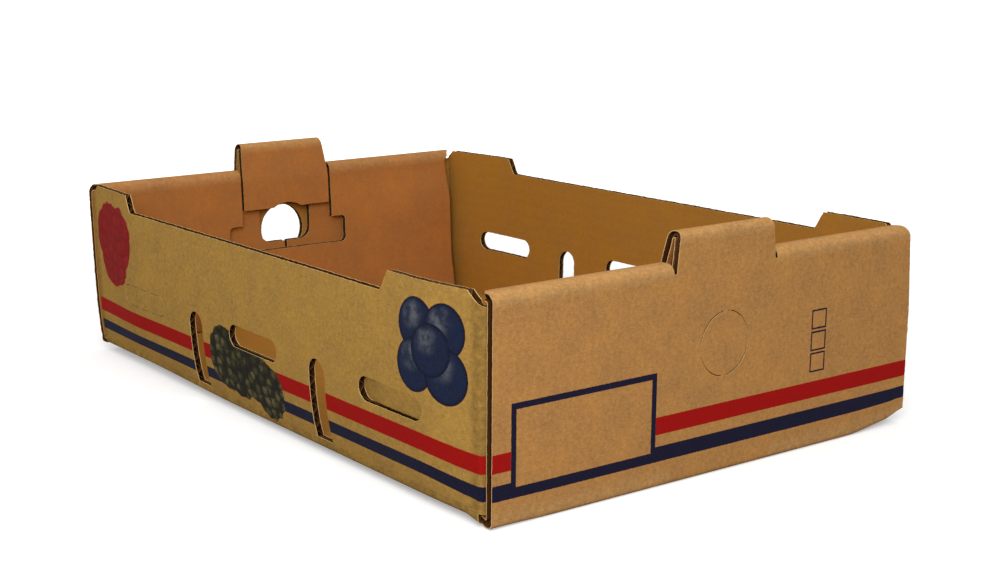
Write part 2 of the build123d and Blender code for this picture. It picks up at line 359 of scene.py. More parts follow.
class FoldedLine:
    """Middle line of a board seen on edge. Offsets are towards its printed side, on the right of the walk."""

    def __init__(self, corners, at, outside, inside, zero_run, zero_place):
        self.runs = []
        self.half = at.board / 2
        distance = 0.0
        here = Vector(corners[0])
        for index in range(1, len(corners)):
            there = Vector(corners[index])
            way = (there - here).normalized()
            last = index == len(corners) - 1
            reach = 0.0
            if not last:
                onward = (Vector(corners[index + 1]) - there).normalized()
                turn = way.angle(onward)
                middle = inside[index - 1] + self.half
                reach = middle * math.tan(turn / 2)
            stop = there - way * reach
            run = (stop - here).length
            self.runs.append((distance, distance + run, here, way, None))
            distance += run
            if not last:
                run = turn * middle
                fold = (onward, turn, outside[index - 1], inside[index - 1])
                self.runs.append((distance, distance + run, stop, way, fold))
                distance += run
                here = there + onward * reach
        shift = zero_place - self.runs[zero_run][0]
        self.runs = [(first + shift, last + shift, *rest) for first, last, *rest in self.runs]
        self.start, self.stop = self.runs[0][0], self.runs[-1][1]

    def at(self, distance, offset):
        """Points at distances along the line, each moved by its offset to the printed side."""
        place = np.zeros((len(distance), 2))
        offset = np.broadcast_to(offset, distance.shape)
        for index, (first, last, start, way, fold) in enumerate(self.runs):
            inside = distance >= first - 1e-9 if index else np.full(distance.shape, True)
            if not inside.any():
                continue
            walked, aside = distance[inside] - first, offset[inside]
            way, right = np.array(way), np.array((way.y, -way.x))
            start = np.array(start) + aside[:, None] * right
            if fold is None:
                place[inside] = start + walked[:, None] * way
                continue
            onward, turn, outer, inner = fold
            radius = inner + (outer - inner) * np.clip((aside + self.half) / (2 * self.half), 0, 1)
            lead = np.maximum(inner + self.half + aside - radius, 0) * math.tan(turn / 2)
            walked = np.minimum(walked / (last - first), 1) * (2 * lead + radius * turn)
            angle = np.clip((walked - lead) / radius, 0, turn)
            ahead = np.minimum(walked, lead) + radius * np.sin(angle)
            left = radius * (1 - np.cos(angle))
            beyond = np.maximum(walked - lead - radius * turn, 0)
            folded = start + ahead[:, None] * way - left[:, None] * right
            place[inside] = folded + beyond[:, None] * np.array(onward)
        return place

    def fold_distances(self):
        """Distances where the mesh needs a line, for round folds and for the ends of their bands of wear and
        painted light.
        """
        found = []
        for first, last, _, _, fold in self.runs:
            if fold:
                turned = np.linspace(first, last, FOLD_STEPS + 1)
                found += [first - FOLD_BAND_REACH, *turned, last + FOLD_BAND_REACH]
        found.sort()
        return [
            value for value, before in zip(found, [-1, *found])
            if self.start < value < self.stop and value - before > CLOSEST_LINES
        ]

    def wear_and_painted_light_band(self, distance):
        """Share of the fold band at distances along the line, for wear and painted light: whole on a fold and
        none a little way off.
        """
        share = np.zeros(distance.shape)
        for first, last, _, _, fold in self.runs:
            if fold:
                away = np.maximum(np.maximum(first - distance, distance - last), 0)
                sharpness = min(1, (fold[1] / (math.pi / 2)) ** 2)
                share = np.maximum(share, (1 - away / FOLD_BAND_REACH) * sharpness)
        return share


class Strip:
    """One strip of the blank: a folded line, the plane that it lies in, and how it has settled in use."""

    def __init__(self, line, plane, turned, ripple=None, swing=None):
        self.line, self.plane, self.turned, self.ripple, self.swing = line, plane, turned, ripple, swing

    def place(self, flat, offset):
        """Points of the flat strip, folded up and settled, at an offset to the printed side."""
        along, across = flat[:, 0], flat[:, 1]
        if self.ripple:
            offset = offset + self.ripple(along, across)
        seen = self.line.at(along, offset)
        first, second, third, sign = PLANES[self.plane]
        points = np.zeros((len(flat), 3))
        points[:, first], points[:, second], points[:, third] = seen[:, 0], seen[:, 1], sign * across
        if self.swing:
            points = self.swing(points)
        if self.turned:
            points[:, :2] *= -1
        return settled(points)


def smooth(value):
    """Soft step from 0 to 1."""
    value = np.clip(value, 0, 1)
    return value * value * (3 - 2 * value)


# Where each change from the true folded shape starts and how far it reaches, in metres. The bulge has shares

NEAR_REACH, FAR_REACH = 0.05, 0.07
BULGE_RISE, FAR_END_BULGE, BULGE_GAIN = 0.018, 0.45, 0.55
FAR_BULGE_START, FAR_BULGE_REACH = -0.04, 0.1
BACK_TUCK_RISE, SWELL_DROP = 0.03, 0.05
BESIDE_START, BESIDE_REACH = 0.04, 0.03
END_START, END_REACH, END_FADE = 0.012, 0.008, 0.08
CRUSH_START, CRUSH_REACH, CRUSH_RISE = 0.016, 0.02, 0.007
FAR_LEAN_START, FAR_LEAN_REACH = -0.08, 0.1
FAR_FOOT_START, FAR_FOOT_REACH, FOOT_RISE = -0.02, 0.12, 0.008
SAG_RISE = 0.003


def settled(points):
    """Points of the true folded tray moved to where this used tray has them."""
    scene = bpy.context.scene
    at, sides, ends = Places(scene), scene.tray_sides, scene.tray_ends
    x, y, z = points.T.copy()
    over_foot = np.maximum(z - at.wall_foot, 0)
    from_near = smooth((at.half_length - x) / NEAR_REACH)
    from_far = smooth((at.half_length + x) / FAR_REACH)
    beside = smooth((np.abs(y) - at.half_width + BESIDE_START) / BESIDE_REACH)

    # The front wall bows outwards, most of all halfway up, and is drawn in at its near corner
    bulge = sides.front_bulge * from_near
    bulge += sides.front_far_bulge * smooth((FAR_BULGE_START - x) / FAR_BULGE_REACH)
    bulge *= (1 - np.exp(-over_foot / BULGE_RISE)) * (FAR_END_BULGE + BULGE_GAIN * from_far)
    belly = sides.front_belly * from_near * from_far * np.sin(math.pi * np.clip(z / at.rim, 0, 1))
    bulge += belly - sides.corner_tuck * (1 - from_near)

    # The back wall leans outwards, is drawn in at its far corner and stands out at its near one
    lean = sides.back_lean * from_near * from_far * over_foot / at.rim
    lean -= sides.back_tuck * (1 - from_far) * smooth(over_foot / BACK_TUCK_RISE)
    lean += sides.corner_swell * (1 - from_near) * smooth((at.rim - z) / SWELL_DROP)

    # The side walls stand off the ground, while the floor and the creases of the ends sag to it
    along_end = smooth((np.abs(x) - at.half_length + END_START) / END_REACH)
    along_end = along_end * smooth((at.half_width - np.sign(x) * y) / END_FADE)
    sag = np.maximum(along_end, 1 - beside)
    crush = sides.corner_crush * smooth((y - at.half_width + CRUSH_START) / CRUSH_REACH)
    crush = crush * (1 - from_near) * np.exp(-z / CRUSH_RISE)
    z -= ends.near_tab_sink * (x > 0) * np.maximum(z - at.rim, 0) / ends.tab_rise
    x -= ends.far_lean * smooth((FAR_LEAN_START - x) / FAR_LEAN_REACH) * z / at.rim
    y += beside * np.where(y < 0, -bulge, lean)
    rise = sides.foot_rise + sides.far_foot_rise * smooth((FAR_FOOT_START - x) / FAR_FOOT_REACH)
    rise = rise * beside * (y < 0) * np.exp(-z / FOOT_RISE)
    z += sides.lift * (1 - sag * np.exp(-np.maximum(z - at.board, 0) / SAG_RISE)) + crush + rise
    return np.stack([x, y, z], 1)


# Sheets of paper cut to an outline

SHEET_MARGIN, SMALLEST_AREA, SAME_POINT = 0.001, 1e-13, 1e-6
CLEAR_OF_FOLD, FLUTE_RUN, FLUTE_STEPS = 0.001, 0.016, 8
SHARP_ANGLE = math.radians(32)
OUTER_SEED, INNER_SEED, CORE_SEED = 1, 2, 3

def within(points, loops):
    """Whether points lie inside the first outline and outside the others."""
    odd = np.zeros(len(points), bool)
    for loop in loops:
        corners = np.array(loop)
        for (x0, y0), (x1, y1) in zip(corners, np.roll(corners, -1, 0)):
            if y0 == y1:
                continue
            spans = (points[:, 1] > min(y0, y1)) & (points[:, 1] <= max(y0, y1))
            odd ^= spans & (points[:, 0] < x0 + (points[:, 1] - y0) * (x1 - x0) / (y1 - y0))
    return odd


def cut_sheet(loops, along_lines, across_lines):
    """Triangles of a flat sheet with an outline and holes, with a vertex wherever grid lines cross."""
    points, edges = [], []
    for loop in loops:
        first = len(points)
        points += loop
        edges += [(first + i, first + (i + 1) % len(loop)) for i in range(len(loop))]
    low, high = np.min(loops[0], 0) - SHEET_MARGIN, np.max(loops[0], 0) + SHEET_MARGIN
    for value in along_lines:
        edges.append((len(points), len(points) + 1))
        points += [Vector((value, low[1])), Vector((value, high[1]))]
    for value in across_lines:
        edges.append((len(points), len(points) + 1))
        points += [Vector((low[0], value)), Vector((high[0], value))]
    vertices, _, faces, *_ = delaunay_2d_cdt(points, edges, [], 0, SAME_POINT)
    flat, triangles = np.array(vertices), np.array(faces)
    triangles = triangles[within(flat[triangles].mean(1), loops)]
    sides = flat[triangles[:, 1:]] - flat[triangles[:, :1]]
    area = sides[:, 0, 0] * sides[:, 1, 1] - sides[:, 0, 1] * sides[:, 1, 0]
    whole = np.abs(area) > SMALLEST_AREA
    triangles, flipped = triangles[whole], area[whole] < 0
    triangles[flipped] = triangles[flipped][:, ::-1]
    used, renamed = np.unique(triangles, return_inverse=True)
    return flat[used], renamed.reshape(-1, 3)


def thick_sheet(name, strips, looks, outward=True):
    """Object of some thin sheets: strip, flat cut, triangles, offset, thickness, sheet place and indoors."""
    points, faces, kinds, sheet, indoors, wear_and_painted_light_band = [], [], [], [], [], []
    for strip, flat, triangles, offset, thickness, place_of, inside_of in strips:
        base, count = len(points), len(flat)
        outer = strip.place(flat, offset + thickness / 2)
        inner = strip.place(flat, offset - thickness / 2)
        points += outer.tolist() + inner.tolist()
        sheet += place_of(flat).tolist() * 2
        indoors += inside_of(flat).tolist() * 2
        # The fold band later carries wear, painted sheen and painted crease shade
        wear_and_painted_light_band += strip.line.wear_and_painted_light_band(flat[:, 0]).tolist() * 2
        seen = 0 if outward else 1
        faces += (triangles + base).tolist() + (triangles[:, ::-1] + base + count).tolist()
        kinds += [seen] * len(triangles) + [1 - seen] * len(triangles)
        edges = np.concatenate([triangles[:, [0, 1]], triangles[:, [1, 2]], triangles[:, [2, 0]]])
        paired = set(map(tuple, edges.tolist()))
        rim = [(a, b) for a, b in edges.tolist() if (b, a) not in paired]
        faces += [(base + b, base + a, base + count + a, base + count + b) for a, b in rim]
        kinds += [2] * len(rim)
    mesh = bpy.data.meshes.new(name)
    mesh.from_pydata(points, [], faces)
    mesh.polygons.foreach_set("material_index", kinds)
    corner_vertices = np.zeros(len(mesh.loops), int)
    mesh.loops.foreach_get("vertex_index", corner_vertices)
    mesh.uv_layers.new(name="sheet").data.foreach_set("uv", np.array(sheet)[corner_vertices].ravel())
    mesh.attributes.new("indoors", "FLOAT", "POINT").data.foreach_set("value", indoors)
    mesh.attributes.new("wear_and_painted_light_band", "FLOAT", "POINT").data.foreach_set("value", wear_and_painted_light_band)
    for look in looks:
        mesh.materials.append(look)
    mesh.shade_smooth()
    mesh.set_sharp_from_angle(angle=SHARP_ANGLE)
    mesh.validate()
    piece = bpy.data.objects.new(name, mesh)
    bpy.context.scene.collection.objects.link(piece)
    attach(piece, BODY)
    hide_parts(NODE)
    return piece


def grid_lines(low, high, step):
    """Evenly spaced values between two ends."""
    return list(np.arange(math.ceil(low / step) * step, high, step))


def board_pieces(name, parts, outer_look, inner_look):
    """Both liners and the fluted sheet of some strips. Each part is a dict that says how one strip is cut."""
    scene = bpy.context.scene
    board = scene.tray_board
    skin = board.board / 2 - board.liner / 2
    swell = board.board / 2 - board.liner - board.medium / 2
    raw, cut = kraft_look("bare_liner"), kraft_look("cut_edge")
    flute, flute_edge = kraft_look("fluted_medium"), kraft_look("cut_flute")
    outer, inner, core = [], [], []
    for part in parts:
        strip = part["strip"]
        outline = np.array(part["loops"](OUTER_SEED)[0])
        low, high = outline.min(0), outline.max(0)
        folds = strip.line.fold_distances()
        flats = [
            value for value in grid_lines(low[0], high[0], board.grid)
            if all(abs(value - fold) > CLEAR_OF_FOLD for fold in folds)
        ]
        across = grid_lines(low[1], high[1], board.grid)
        for layer, offset, seed in ((outer, skin, OUTER_SEED), (inner, -skin, INNER_SEED)):
            flat, triangles = cut_sheet(part["loops"](seed), flats + folds, across)
            layer.append((strip, flat, triangles, offset, board.liner, part["sheet"], part["indoors"]))
        sunk = []
        for index, loop in enumerate(part["loops"](CORE_SEED)):
            outwards = turns_left(loop) == (index > 0)
            sunk.append(inset(loop, -board.sunk if outwards else board.sunk))
        fine = board.flute_pitch / FLUTE_STEPS
        if part["lengthways"]:
            along = grid_lines(low[0], high[0], FLUTE_RUN) + folds
            flat, triangles = cut_sheet(sunk, along, grid_lines(low[1], high[1], fine))
        else:
            along = grid_lines(low[0], high[0], fine)
            flat, triangles = cut_sheet(sunk, along, grid_lines(low[1], high[1], FLUTE_RUN))
        wave = swell * np.cos(2 * math.pi * part["across_flutes"](flat) / board.flute_pitch)
        core.append((strip, flat, triangles, wave, board.medium, part["sheet"], part["indoors"]))
    return [
        thick_sheet(name + "_outer_liner", outer, [outer_look, raw, cut]),
        thick_sheet(name + "_inner_liner", inner, [inner_look, raw, cut], outward=False),
        thick_sheet(name + "_fluted_core", core, [flute, flute, flute_edge]),
    ]


# Shader nodes

MIX_FIRST, MIX_SECOND, MIX_RESULT = 6, 7, 2
SOCKETS = {3: "NodeSocketVector", 4: "NodeSocketColor"}


def fill(tree, made, inputs):
    """Puts values or links on a node's inputs."""
    for name, value in inputs.items():
        if isinstance(value, bpy.types.NodeSocket):
            tree.links.new(value, made.inputs[name])
        else:
            made.inputs[name].default_value = value


def node(tree, kind, inputs=None, **settings):
    """Adds a shader node, with its settings and with values or links on its inputs."""
    made = tree.nodes.new(kind)
    for name, value in settings.items():
        setattr(made, name, value)
    fill(tree, made, inputs or {})
    return made


def maths(tree, operation, *values):
    """Result of a math node."""
    return node(tree, "ShaderNodeMath", dict(enumerate(values)), operation=operation).outputs[0]


def in_turn(tree, operation, first, *others):
    """Result of one operation that takes in some values one after the other."""
    for value in others:
        first = maths(tree, operation, first, value)
    return first


def product(tree, *values):
    """Some values multiplied."""
    return in_turn(tree, "MULTIPLY", *values)


def total(tree, *values):
    """Some values added up."""
    return in_turn(tree, "ADD", *values)


def any_of(tree, *masks):
    """Mask of where any of some masks is."""
    return in_turn(tree, "MAXIMUM", *masks)


def outside(tree, mask):
    """Mask of where another mask isn't."""
    return maths(tree, "SUBTRACT", 1.0, mask)


def swayed(tree, value, amount):
    """Noise about its middle, times an amount."""
    return maths(tree, "MULTIPLY", maths(tree, "SUBTRACT", value, 0.5), amount)


def vectors(tree, operation, first, second=None):
    """Result of a vector math node, which is a number for a length and a distance."""
    inputs = {0: first}
    if second is not None:
        inputs["Scale" if operation == "SCALE" else 1] = second
    made = node(tree, "ShaderNodeVectorMath", inputs, operation=operation)
    return made.outputs["Value" if operation in ("LENGTH", "DISTANCE") else "Vector"]


def blend(tree, share, first, second):
    """Mix of two colours."""
    made = node(tree, "ShaderNodeMix", {0: share}, data_type="RGBA")
    for socket, value in ((MIX_FIRST, first), (MIX_SECOND, second)):
        fill(tree, made, {socket: value if isinstance(value, bpy.types.NodeSocket) else (*value, 1)})
    return made.outputs[MIX_RESULT]


def spread(tree, value, low, high, new_low=0.0, new_high=1.0, soft=True):
    """Value carried from one range to another and kept inside it."""
    inputs = {0: value, 1: low, 2: high, 3: new_low, 4: new_high}
    kind = "SMOOTHSTEP" if soft else "LINEAR"
    return node(tree, "ShaderNodeMapRange", inputs, interpolation_type=kind).outputs[0]


def noise(tree, place, scale, detail, roughness=0.5, distortion=0.0):
    """Value of a noise in space."""
    inputs = {
        "Vector": place, "Scale": scale, "Detail": detail, "Roughness": roughness, "Distortion": distortion,
    }
    return node(tree, "ShaderNodeTexNoise", inputs).outputs[0]


def flat_noise(tree, place, scale, detail, roughness=0.5):
    """Value and colour of a noise on the flat sheet."""
    inputs = {"Vector": place, "Scale": scale, "Detail": detail, "Roughness": roughness}
    return node(tree, "ShaderNodeTexNoise", inputs, noise_dimensions="2D").outputs


def solid_place(tree):
    """Place in the solid."""
    return node(tree, "ShaderNodeTexCoord").outputs["Object"]


def sheet_uv(tree):
    """Place on the flat sheet."""
    return node(tree, "ShaderNodeUVMap", uv_map="sheet").outputs[0]


def parts_of(tree, vector):
    """Single parts of a vector."""
    return node(tree, "ShaderNodeSeparateXYZ", {0: vector}).outputs


def marked(tree, name):
    """Value that a piece carries at its vertices."""
    return node(tree, "ShaderNodeAttribute", attribute_name=name).outputs["Fac"]


def put_out(tree, shader, kind="ShaderNodeOutputMaterial"):
    """Ends a tree with its shader."""
    tree.links.new(shader.outputs[0], node(tree, kind).inputs[0])


def effect(name, inputs, outputs, build):
    """Shader node group, built once and shared by the materials that use it."""
    if name in bpy.data.node_groups:
        return bpy.data.node_groups[name]
    group = bpy.data.node_groups.new(name, "ShaderNodeTree")
    for label, value in inputs.items():
        kind = SOCKETS[len(value)] if isinstance(value, tuple) else "NodeSocketFloat"
        group.interface.new_socket(name=label, in_out="INPUT", socket_type=kind).default_value = value
    for label in outputs:
        kind = "NodeSocketColor" if label == "Color" else "NodeSocketFloat"
        group.interface.new_socket(name=label, in_out="OUTPUT", socket_type=kind)
    start, end = group.nodes.new("NodeGroupInput"), group.nodes.new("NodeGroupOutput")
    for label, socket in build(group, start.outputs).items():
        group.links.new(socket, end.inputs[label])
    return group


def use(tree, group, inputs):
    """Places a node group and returns its outputs."""
    made = tree.nodes.new("ShaderNodeGroup")
    made.node_tree = group
    fill(tree, made, inputs)
    return made.outputs


# Effects, each a node group that the materials place, in metres

FIBRE_STRETCH = (0.35, 0.35, 1.0)
SPECK_COLOUR = (0.11, 0.06, 0.025)
FIBRE_HEIGHT, GRAIN_HEIGHT, MOTTLE_HEIGHT = 0.00006, 0.00003, 0.00006
WAVE_TONE = 0.004
FOOT_MARK_TOP, FOOT_MARK_WHOLE, FOOT_MARK_SHARE = 0.0055, 0.002, 0.75
STRIPE_SOFTNESS, LINE_SOFTNESS = 0.00012, 0.0001
SHINE_SHIFT = (-0.003, 0.0045, 0)
BEAD_WOBBLE, BEAD_LIGHT, BEAD_RANDOMNESS = 0.0026, (0.0009, -0.0011, 0), 0.8


def kraft_paper():
    """Kraft liner: pulp clouds, mottle, fibres, a few dark specks, and the washboard of its flutes, as a bump
    and as painted light and shade.
    """

    def build(tree, given):
        place = given["Place"]
        clouds = noise(tree, place, 55.0, 3.0, 0.55)
        mottle = noise(tree, place, 420.0, 4.0, 0.65)
        fibre = noise(tree, vectors(tree, "MULTIPLY", place, FIBRE_STRETCH), 1500.0, 3.0, 0.6, 1.2)
        grain = noise(tree, place, 3200.0, 1.0, 0.55)
        specks = noise(tree, place, 1100.0, 0.0, 0.55)
        turn = 2 * math.pi / bpy.context.scene.tray_board.flute_pitch
        wave = maths(tree, "SINE", product(tree, given["Across flutes"], turn))
        uneven = (("Clouds", clouds), ("Mottle", mottle), ("Fibre", fibre))
        tone = total(tree, *(swayed(tree, value, given[name]) for name, value in uneven))
        # Painted light and shade of the washboard: the paper a little lighter and darker across the flutes
        tone = total(tree, tone, product(tree, wave, WAVE_TONE), 1.0)
        warmth = spread(tree, clouds, 0.3, 0.7, 0.985, 1.015, soft=False)
        inputs = {"Color": vectors(tree, "SCALE", given["Tone"], tone), "Saturation": warmth}
        warm = node(tree, "ShaderNodeHueSaturation", inputs).outputs[0]
        speckled = product(tree, spread(tree, specks, 0.8, 0.86), given["Specks"])
        heights = (
            (fibre, FIBRE_HEIGHT), (grain, GRAIN_HEIGHT), (mottle, MOTTLE_HEIGHT), (wave, given["Washboard"]),
        )
        return {
            "Color": blend(tree, speckled, warm, SPECK_COLOUR),
            "Height": total(tree, *(product(tree, *pair) for pair in heights)),
            "Roughness": spread(tree, fibre, 0.3, 0.7, 0.8, 0.95),
        }

    inputs = {
        "Place": (0, 0, 0), "Tone": (0.4, 0.25, 0.1, 1), "Clouds": 0.44, "Mottle": 0.7, "Fibre": 0.85,
        "Specks": 0.4, "Across flutes": 0.0, "Washboard": 0.000012,
    }
    return effect("kraft_paper", inputs, ["Color", "Height", "Roughness"], build)


def wear_and_painted_light_mask():
    """Mask of a band along a fold, broken up by the paper, for wear with a painted sheen and for painted
    crease shade.
    """

    def build(tree, given):
        broken = noise(tree, given["Place"], 260.0, 6.0, 0.7)
        return {"Mask": product(tree, given["Wear and painted light"], spread(tree, broken, 0.3, 0.65, 0.2, 1.0))}

    return effect("wear_and_painted_light_mask", {"Place": (0, 0, 0), "Wear and painted light": 0.0}, ["Mask"], build)


def foot_marks():
    """Mask of small dark marks along the foot of a wall, in a few clusters, darker towards the foot."""

    def build(tree, given):
        low = spread(tree, given["Level"], FOOT_MARK_TOP, FOOT_MARK_WHOLE)
        clusters = spread(tree, noise(tree, given["Place"], 26.0, 1.0), 0.5, 0.62)
        marks = spread(tree, noise(tree, given["Place"], 420.0, 5.0, 0.75), 0.5, 0.6)
        return {"Mask": product(tree, clusters, marks, low, FOOT_MARK_SHARE)}

    return effect("foot_marks", {"Place": (0, 0, 0), "Level": 0.0}, ["Mask"], build)


def wear_and_painted_light_tone(tree, tone, fold_band_colour, share):
    """Paper tone, changed along a fold: worn paper with a painted sheen on the end walls and tabs, painted
    crease shade elsewhere.
    """
    inputs = {"Place": solid_place(tree), "Wear and painted light": marked(tree, "wear_and_painted_light_band")}
    mask = use(tree, wear_and_painted_light_mask(), inputs)["Mask"]
    return blend(tree, product(tree, mask, share), tone, fold_band_colour)


def ink_stripe():
    """Mask of a printed band between two levels."""

    def build(tree, given):
        level, soft = given["Level"], STRIPE_SOFTNESS
        rises = spread(tree, maths(tree, "SUBTRACT", level, given["Low"]), -soft, soft)
        falls = spread(tree, maths(tree, "SUBTRACT", given["High"], level), -soft, soft)
        return {"Mask": product(tree, rises, falls)}

    return effect("ink_stripe", {"Level": 0.0, "Low": 0.0, "High": 0.0}, ["Mask"], build)


def stripe(tree, level, band):
    """Mask of one printed stripe, given by its low and its high edge."""
    return use(tree, ink_stripe(), {"Level": level, "Low": band[0], "High": band[1]})["Mask"]


def ink_rectangle():
    """Masks of a printed rectangle's line, of the whole rectangle and of what its line encloses."""

    def build(tree, given):
        apart = vectors(tree, "ABSOLUTE", vectors(tree, "SUBTRACT", given["Place"], given["Middle"]))
        parts = parts_of(tree, vectors(tree, "SUBTRACT", apart, given["Half size"]))
        past = any_of(tree, parts[0], parts[1])
        filled = spread(tree, past, LINE_SOFTNESS, -LINE_SOFTNESS)
        inner = spread(tree, total(tree, past, given["Line"]), LINE_SOFTNESS, -LINE_SOFTNESS)
        return {"Line": maths(tree, "SUBTRACT", filled, inner), "Filled": filled, "Inside": inner}

    inputs = {"Place": (0, 0, 0), "Middle": (0, 0, 0), "Half size": (0, 0, 0), "Line": 0.001}
    return effect("ink_rectangle", inputs, ["Line", "Filled", "Inside"], build)


def rectangle(tree, place, middle, half_size, line):
    """Masks of one printed rectangle."""
    inputs = {"Place": place, "Middle": middle, "Half size": half_size, "Line": line}
    return use(tree, ink_rectangle(), inputs)


def ink_disc():
    """Masks of a printed round shape's whole, shine and darker rim, and the share of its radius."""

    def build(tree, given):
        def reached(middle):
            return maths(tree, "DIVIDE", vectors(tree, "DISTANCE", given["Place"], middle), given["Radius"])

        share = reached(given["Middle"])
        shine = reached(vectors(tree, "ADD", given["Middle"], SHINE_SHIFT))
        return {
            "Whole": spread(tree, share, 1.012, 0.988), "Shine": spread(tree, shine, 0.75, 0.1),
            "Rim": spread(tree, share, 0.8, 0.98), "Share": share,
        }

    inputs = {"Place": (0, 0, 0), "Middle": (0, 0, 0), "Radius": 0.01}
    return effect("ink_disc", inputs, ["Whole", "Shine", "Rim", "Share"], build)


def disc(tree, place, x, y, radius):
    """Masks of one printed round shape."""
    return use(tree, ink_disc(), {"Place": place, "Middle": (x, y, 0), "Radius": radius})


def drupelets():
    """Shading of a printed fruit that is made of many small beads."""

    def build(tree, given):
        scale = maths(tree, "DIVIDE", 1.0, given["Bead"])

        def beads(place, **settings):
            inputs = {"Vector": place, "Scale": scale, "Randomness": BEAD_RANDOMNESS}
            return node(tree, "ShaderNodeTexVoronoi", inputs, voronoi_dimensions="2D", **settings).outputs

        wobble = vectors(tree, "SCALE", flat_noise(tree, given["Place"], 190.0, 1.0)[1], BEAD_WOBBLE)
        place = vectors(tree, "ADD", given["Place"], wobble)
        cells = beads(place)
        lit = beads(vectors(tree, "ADD", place, BEAD_LIGHT))
        edge = beads(place, feature="DISTANCE_TO_EDGE")
        ragged = total(tree, lit[0], swayed(tree, noise(tree, given["Place"], 700.0, 3.0), 0.9))
        own = node(tree, "ShaderNodeSeparateColor", {0: cells[1]}).outputs[0]
        own = spread(tree, own, 0.0, 1.0, 0.05, 1.0, soft=False)
        return {
            "Bead shine": product(tree, spread(tree, ragged, 0.6, 0.1), own),
            "Gap": spread(tree, edge[0], 0.16, 0.02), "Round": cells[0],
        }

    return effect("drupelets", {"Place": (0, 0, 0), "Bead": 0.006}, ["Bead shine", "Gap", "Round"], build)


# Printed matter: places and sizes in metres on the flat sheet, discs as x, y and radius, and shares of one

SIDE_RED, SIDE_BLUE = (0.0243, 0.0330), (0.0121, 0.0186)
END_RED, END_BLUE = (0.0231, 0.0318), (0.0104, 0.0174)
SIDE_PRINT_END = 0.1985
SIDE_PRINT_DIP, DIP_START, DIP_STOP = 0.0022, 0.15, 0.19
SHOULDER_LEVEL, SHOULDER_BLEND, TAB_EDGE_BLEND = 0.1, 0.001, 0.002
FRAME_MIDDLE, FRAME_HALF, FRAME_LINE = (-0.083, 0.03285, 0), (0.044, 0.02085, 1), 0.003
BOX_MIDDLES = [(0.072, 0.0641, 0), (0.072, 0.05285, 0), (0.072, 0.04175, 0)]
BOX_HALF, BOX_LINE = (0.0055, 0.0051, 1), 0.0009
BLUE_FRUIT = [
    (0.154, 0.0835, 0.0125), (0.1725, 0.083, 0.0128), (0.1535, 0.0645, 0.0128),
    (0.174, 0.0625, 0.0132), (0.164, 0.073, 0.0125),
]
RED_FRUIT = [(-0.1690, 0.0755, 0.0200), (-0.1580, 0.0745, 0.0205), (-0.1640, 0.0645, 0.0205)]
DARK_FRUIT = [
    (-0.0265, 0.0285, 0.0185), (-0.0130, 0.0260, 0.0175), (0.0060, 0.0250, 0.0150),
    (0.0175, 0.0200, 0.0160),
]
FAR_OFF = 10.0
RED_BEAD, DARK_BEAD = 0.0078, 0.0062
RED_SHARES, DARK_SHARES = (0.14, 0.35), (0.62, 0.6)
CROWN_X, CROWN_Y, CROWN_SIZE, CROWN_SHARE = 0.002, 0.001, 0.3, 0.35
PLATE_SLIP = 0.0004

# Tones of the printed fruit's body, shine, and gaps or rim, and of the dark marks along the foot

RED_TONES = (0.24, 0.009, 0.009), (0.5, 0.05, 0.045), (0.1, 0.004, 0.005)
BLUE_BODY, BLUE_SHINE, BLUE_RIM = (0.009, 0.0155, 0.042), (0.13, 0.14, 0.15), (0.004, 0.006, 0.018)
DARK_SHINE, DARK_GAP = (0.21, 0.175, 0.08), (0.003, 0.004, 0.003)
FOOT_MARK_COLOUR = (0.03, 0.022, 0.01)

# Shares of wear, painted crease shade, painted sheen and ink

CREASE_SHADE_SHARE, WEAR_AND_SHEEN_SHARE, INDOORS_CALM = 0.6, 0.3, 0.55
END_MOTTLE, END_FIBRE, PLAIN_MOTTLE = 0.7, 0.85, 0.3
INK_SMOOTHING, PAPER_SPECULAR = 0.16, 0.05


def bead_fruit(tree, place, discs, bead, tones, shares):
    """Mask and colour of a printed fruit of beads that fills some discs, with shares of shine and gaps."""
    beads = use(tree, drupelets(), {"Place": place, "Bead": bead})
    nearest = in_turn(tree, "MINIMUM", FAR_OFF, *(disc(tree, place, *each)["Share"] for each in discs))
    whole = spread(tree, total(tree, nearest, product(tree, beads["Round"], 0.14)), 1.075, 1.045)
    tone = blend(tree, product(tree, beads["Bead shine"], shares[0]), tones[0], tones[1])
    return whole, blend(tree, product(tree, beads["Gap"], shares[1]), tone, tones[2])


def blue_fruit(tree, place, bloom, x, y, radius):
    """Mask and colour of a printed round fruit, with a soft, patchy shine and a small crown."""
    fruit = disc(tree, place, x, y, radius)
    crown = disc(tree, place, x + CROWN_X, y - CROWN_Y, radius * CROWN_SIZE)
    tone = blend(tree, product(tree, fruit["Shine"], product(tree, bloom, 0.8)), BLUE_BODY, BLUE_SHINE)
    tone = blend(tree, product(tree, fruit["Rim"], 0.8), tone, BLUE_RIM)
    pressed = product(tree, crown["Rim"], product(tree, crown["Whole"], CROWN_SHARE))
    return fruit["Whole"], blend(tree, pressed, tone, BLUE_RIM)


def sheet_place(tree):
    """Place on the flat sheet, with the small slips of a printing plate, and its two parts."""
    place = sheet_uv(tree)
    slip = vectors(tree, "SUBTRACT", flat_noise(tree, place, 900.0, 2.0)[1], (0.5, 0.5, 0.5))
    slipped = vectors(tree, "ADD", place, vectors(tree, "SCALE", slip, PLATE_SLIP))
    flat = vectors(tree, "MULTIPLY", slipped, (1, 1, 0))
    parts = parts_of(tree, flat)
    return flat, parts[0], parts[1]


